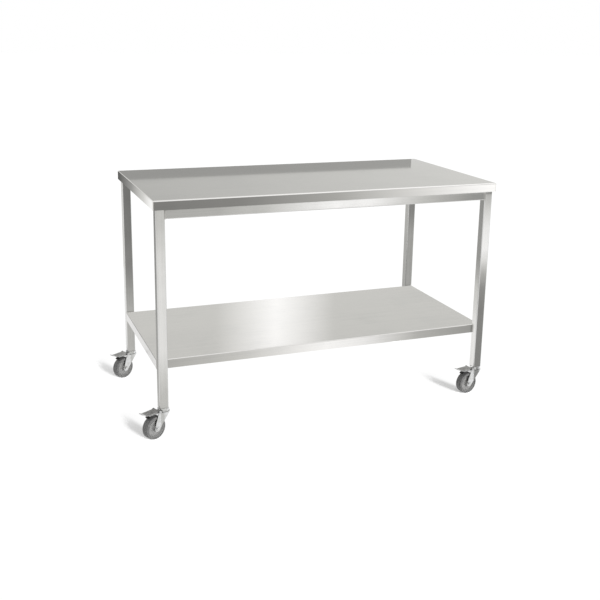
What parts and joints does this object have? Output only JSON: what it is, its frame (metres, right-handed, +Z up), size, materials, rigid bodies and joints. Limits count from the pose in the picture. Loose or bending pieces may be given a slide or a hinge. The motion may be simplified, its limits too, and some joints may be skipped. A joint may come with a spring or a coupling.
{
  "type": "stainless work table",
  "caption": "Mobile kitchen work table: folded steel worktop and lower shelf on a square tube frame with swivelling braked casters.",
  "frame": {"origin": "on the floor, under the centre of the worktop", "axes": "+X to the right along the worktop's length, +Y to the back, +Z up"},
  "size_m": [1.4704, 0.7837, 0.9],
  "materials": {
    "worktop_steel": "satin brushed along the length",
    "frame_steel": "satin brushed along each tube",
    "shelf_steel": "satin brushed along the length",
    "inner_steel": "mill finish",
    "plated_steel": "bright zinc plate on pressed sheet",
    "fastener_steel": "zinc plate",
    "wheel_plastic": "moulded, light grey",
    "tyre_rubber": "grey non-marking rubber",
    "brake_rubber": "black moulded"
  },
  "bodies": {
    "table": {"worktop": "worktop_steel", "front_rail": "frame_steel", "rear_rail": "frame_steel", "left_rail": "frame_steel", "right_rail": "frame_steel", "shelf": "shelf_steel", "shelf_stiffener": "inner_steel", "top_fixing_screws": "fastener_steel", "top_fixing_nuts": "fastener_steel", "shelf_screws": "fastener_steel", "shelf_rivet_nuts": "fastener_steel", "leg_inserts": "fastener_steel", "king_bolts": "fastener_steel", "swivel_heads": "plated_steel", "swivel_balls": "fastener_steel", "top_stiffener_1": "inner_steel", "top_stiffener_2": "inner_steel", "top_stiffener_3": "inner_steel", "leg_front_left": "frame_steel", "leg_front_right": "frame_steel", "leg_rear_left": "frame_steel", "leg_rear_right": "frame_steel"},
    "swivel_front_left": {"fork_front_left": "plated_steel", "axle_bolt_front_left": "fastener_steel", "axle_nut_front_left": "fastener_steel", "axle_sleeve_front_left": "fastener_steel", "brake_pin_front_left": "fastener_steel"},
    "wheel_front_left": {"wheel_core_front_left": "wheel_plastic", "tyre_front_left": "tyre_rubber"},
    "pedal_front_left": {"brake_pedal_front_left": "plated_steel", "brake_shoe_front_left": "brake_rubber"},
    "swivel_front_right": {"fork_front_right": "plated_steel", "axle_bolt_front_right": "fastener_steel", "axle_nut_front_right": "fastener_steel", "axle_sleeve_front_right": "fastener_steel", "brake_pin_front_right": "fastener_steel"},
    "wheel_front_right": {"wheel_core_front_right": "wheel_plastic", "tyre_front_right": "tyre_rubber"},
    "pedal_front_right": {"brake_pedal_front_right": "plated_steel", "brake_shoe_front_right": "brake_rubber"},
    "swivel_rear_left": {"fork_rear_left": "plated_steel", "axle_bolt_rear_left": "fastener_steel", "axle_nut_rear_left": "fastener_steel", "axle_sleeve_rear_left": "fastener_steel", "brake_pin_rear_left": "fastener_steel"},
    "wheel_rear_left": {"wheel_core_rear_left": "wheel_plastic", "tyre_rear_left": "tyre_rubber"},
    "pedal_rear_left": {"brake_pedal_rear_left": "plated_steel", "brake_shoe_rear_left": "brake_rubber"},
    "swivel_rear_right": {"fork_rear_right": "plated_steel", "axle_bolt_rear_right": "fastener_steel", "axle_nut_rear_right": "fastener_steel", "axle_sleeve_rear_right": "fastener_steel", "brake_pin_rear_right": "fastener_steel"},
    "wheel_rear_right": {"wheel_core_rear_right": "wheel_plastic", "tyre_rear_right": "tyre_rubber"},
    "pedal_rear_right": {"brake_pedal_rear_right": "plated_steel", "brake_shoe_rear_right": "brake_rubber"}
  },
  "joints": [
    {"name": "swivel_front_left", "type": "hinge", "parent": "table", "child": "swivel_front_left", "pos_m": [-0.6725, -0.3225, 0.096], "axis": [0, 0, 1], "continuous": true},
    {"name": "wheel_front_left", "type": "hinge", "parent": "swivel_front_left", "child": "wheel_front_left", "pos_m": [-0.71312, -0.3441, 0.044], "axis": [0.4695, -0.8829, 0], "continuous": true},
    {"name": "brake_front_left", "type": "hinge", "parent": "swivel_front_left", "child": "pedal_front_left", "pos_m": [-0.69987, -0.33705, 0.1035], "axis": [0.4695, -0.8829, 0], "range_deg": [0, 6.5]},
    {"name": "swivel_front_right", "type": "hinge", "parent": "table", "child": "swivel_front_right", "pos_m": [0.6725, -0.3225, 0.096], "axis": [0, 0, 1], "continuous": true},
    {"name": "wheel_front_right", "type": "hinge", "parent": "swivel_front_right", "child": "wheel_front_right", "pos_m": [0.6275, -0.33206, 0.044], "axis": [0.2079, -0.9781, 0], "continuous": true},
    {"name": "brake_front_right", "type": "hinge", "parent": "swivel_front_right", "child": "pedal_front_right", "pos_m": [0.64218, -0.32894, 0.1035], "axis": [0.2079, -0.9781, 0], "range_deg": [0, 6.5]},
    {"name": "swivel_rear_left", "type": "hinge", "parent": "table", "child": "swivel_rear_left", "pos_m": [-0.6725, 0.3225, 0.096], "axis": [0, 0, 1], "continuous": true},
    {"name": "wheel_rear_left", "type": "hinge", "parent": "swivel_rear_left", "child": "wheel_rear_left", "pos_m": [-0.71234, 0.2995, 0.044], "axis": [0.5, -0.866, 0], "continuous": true},
    {"name": "brake_rear_left", "type": "hinge", "parent": "swivel_rear_left", "child": "pedal_rear_left", "pos_m": [-0.69935, 0.307, 0.1035], "axis": [0.5, -0.866, 0], "range_deg": [0, 6.5]},
    {"name": "swivel_rear_right", "type": "hinge", "parent": "table", "child": "swivel_rear_right", "pos_m": [0.6725, 0.3225, 0.096], "axis": [0, 0, 1], "continuous": true},
    {"name": "wheel_rear_right", "type": "hinge", "parent": "swivel_rear_right", "child": "wheel_rear_right", "pos_m": [0.63726, 0.35207, 0.044], "axis": [-0.6428, -0.766, 0], "continuous": true},
    {"name": "brake_rear_right", "type": "hinge", "parent": "swivel_rear_right", "child": "pedal_rear_right", "pos_m": [0.64875, 0.34243, 0.1035], "axis": [-0.6428, -0.766, 0], "range_deg": [0, 6.5]}
  ]
}
